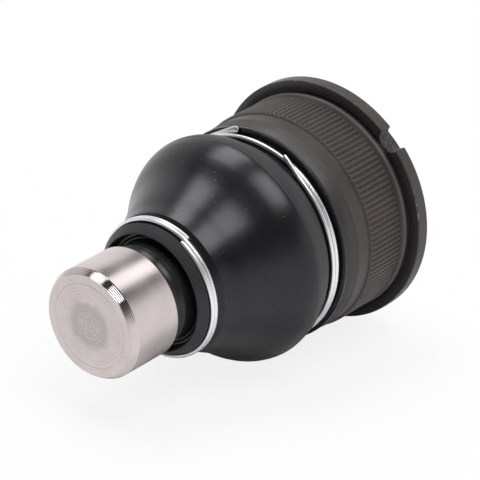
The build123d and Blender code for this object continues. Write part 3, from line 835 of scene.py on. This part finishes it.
coat = phosphated_steel()
plastic = bearing_plastic()
zinc = zinc_wire()
dress(nodes["housing"], coat)
dress(nodes["end_cap"], coat)
dress(nodes["disc_spring"], spring_steel())
dress(nodes["thrust_pad"], plastic)
dress(nodes["ball_seat"], plastic)
dress(boot, boot_rubber())
dress(ring_large, zinc)
dress(ring_small, zinc)
dress(pin, turned_steel())
pin.data.materials.append(pin_coat())
for face in pin.data.polygons:
    if face.center.y > (HEAD_REAR_Y + 0.08) * MM:
        face.material_index = 1


# ---------------------------------------------------------------- pieces on their bodies
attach(pin, "pin_body")
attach(ring_small, "collar_body")
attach(ring_large, "housing_body")
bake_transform(boot)


# ---------------------------------------------------------------- floor
FLOOR_REACH = 1600.0          # from the floor's middle to each side
FLANGE_REST_Y = 15.2          # middle of the flange's rim
SHADOW_MIDDLE = (0, -12, -22)
# Distances from there over which the floor turns to plain white in mirrors, and over which it
# turns from mostly to almost wholly clear for the camera.
MIRROR_FADE, CAMERA_FADE = (26, 56), (35, 120)
CAMERA_CLEAR = (0.85, 0.99)


def floor_plane():
    """A square under the flange's rim and the boot's bulge, which the joint lies on."""
    front = Vector((0, BULGE_Y, -BULGE_R)) * MM
    rear = Vector((0, FLANGE_REST_Y, -FLANGE_R)) * MM
    along = (rear - front).normalized() * FLOOR_REACH * MM
    across = Vector((1, 0, 0)) * FLOOR_REACH * MM
    middle = (front + rear) / 2
    mesh = bpy.data.meshes.new("floor")
    sides = ((-1, -1), (1, -1), (1, 1), (-1, 1))
    mesh.from_pydata([middle + across * x + along * y for x, y in sides], [], [[0, 1, 2, 3]])
    return mesh


def floor_material():
    """Pale and matt. The floor keeps the object's shadow. Beyond it the floor is plain white in
    mirrors, and to the camera it is mostly clear, with the white world behind, so that a pin
    that swings down at a joint limit still shows."""
    made, tree, shader = material("floor")
    put(tree, shader, {"Base Color": (0.86, 0.855, 0.855, 1), "Roughness": 0.9})
    put(tree, shader, {"Specular IOR Level": 0.1})
    white = add(tree, "ShaderNodeEmission", {"Color": (1, 1, 1, 1), "Strength": 1.0})
    clear = add(tree, "ShaderNodeBsdfTransparent")
    path = add(tree, "ShaderNodeLightPath").outputs
    middle = Vector(SHADOW_MIDDLE) * MM
    away = add(tree, "ShaderNodeVectorMath", {0: object_place(tree), 1: middle}, operation="DISTANCE")
    away = calc(tree, "DIVIDE", away.outputs["Value"], MM)
    mirrored = most(tree, path["Is Glossy Ray"], path["Is Transmission Ray"])
    whitened = times(tree, mirrored, ramp(tree, away, *MIRROR_FADE))
    cleared = times(tree, path["Is Camera Ray"], ramp(tree, away, *CAMERA_FADE, *CAMERA_CLEAR))
    look = shader
    for share, other in ((whitened, white), (cleared, clear)):
        look = add(tree, "ShaderNodeMixShader", {0: share, 1: look.outputs[0], 2: other.outputs[0]})
    put(tree, tree.nodes["Material Output"], {"Surface": look.outputs[0]})
    return made


floor = bpy.data.objects.new("floor", floor_plane())
bpy.context.scene.collection.objects.link(floor)
floor.data.materials.append(floor_material())
floor.visible_shadow = False


# ---------------------------------------------------------------- light
def softbox(name, direction, length, width, radiance):
    """A soft lamp, a metre away, that faces the object and isn't seen by the camera. Its length
    runs along the joint's axis if it hangs overhead, and across it if it stands behind. Its
    sides are in metres."""
    lamp = bpy.data.lights.new(name, "AREA")
    lamp.shape = "RECTANGLE"
    lamp.size, lamp.size_y = length, width
    lamp.energy = radiance * pi * length * width
    obj = bpy.data.objects.new(name, lamp)
    obj.location = Vector(direction).normalized()
    obj.rotation_euler = (-obj.location).to_track_quat("-Z", "Y").to_euler()
    obj.visible_camera = False
    bpy.context.scene.collection.objects.link(obj)


softbox("box_left", (-0.35, 0.06, 0.92), 0.63, 0.46, 5.6)
softbox("box_right", (0.42, -0.05, 0.91), 0.57, 0.56, 5.2)
softbox("box_rear", (0.03, 0.65, 0.76), 0.46, 0.26, 2.5)

# How high the pale sweep reaches, as the height of a direction of length 1. It reaches higher
# behind the object and to its left.
SWEEP_TOP, SWEEP_BEHIND, SWEEP_LEFT = 0.38, 0.29, 0.4
SWEEP_FADE = 0.4


def studio_world():
    """White to the camera. The object sees a pale sweep near the floor and a dim room above."""
    world = bpy.data.worlds.new("studio")
    world.use_nodes = True
    tree = world.node_tree
    direction = add(tree, "ShaderNodeTexCoord").outputs["Generated"]
    x, y, z = add(tree, "ShaderNodeSeparateXYZ", {0: direction}).outputs
    behind = ramp(tree, y, -0.4, 0.4)
    left = fall(tree, x, -0.8, -0.4)
    top = calc(tree, "ADD", SWEEP_TOP, times(tree, behind, SWEEP_BEHIND))
    top = calc(tree, "ADD", top, times(tree, left, SWEEP_LEFT))
    low = fall(tree, z, calc(tree, "SUBTRACT", top, SWEEP_FADE), top)
    sweep = mixed(tree, behind, (0.55, 0.55, 0.555), (1.0, 0.99, 0.99))
    colour = mixed(tree, low, (0.06, 0.06, 0.062), sweep)
    seen = add(tree, "ShaderNodeLightPath").outputs["Is Camera Ray"]
    colour = mixed(tree, seen, colour, (1, 1, 1))
    put(tree, tree.nodes["Background"], {"Color": colour, "Strength": 1.0})
    bpy.context.scene.world = world


studio_world()
bpy.context.scene.view_settings.view_transform = "Standard"


# ---------------------------------------------------------------- camera
# The photograph's view, at azimuth 39.7 and elevation 27.3 degrees. Places are in metres.
camera_data = bpy.data.cameras.new("camera")
camera_data.sensor_width = 36.0
camera_data.lens = 187.5
camera_data.clip_start, camera_data.clip_end = 0.05, 10.0
camera = bpy.data.objects.new("camera", camera_data)
camera.location = (0.27487, -0.34181, 0.22244)
camera.rotation_euler = (radians(62.74), 0.0, radians(39.68))
bpy.context.scene.collection.objects.link(camera)
bpy.context.scene.camera = camera
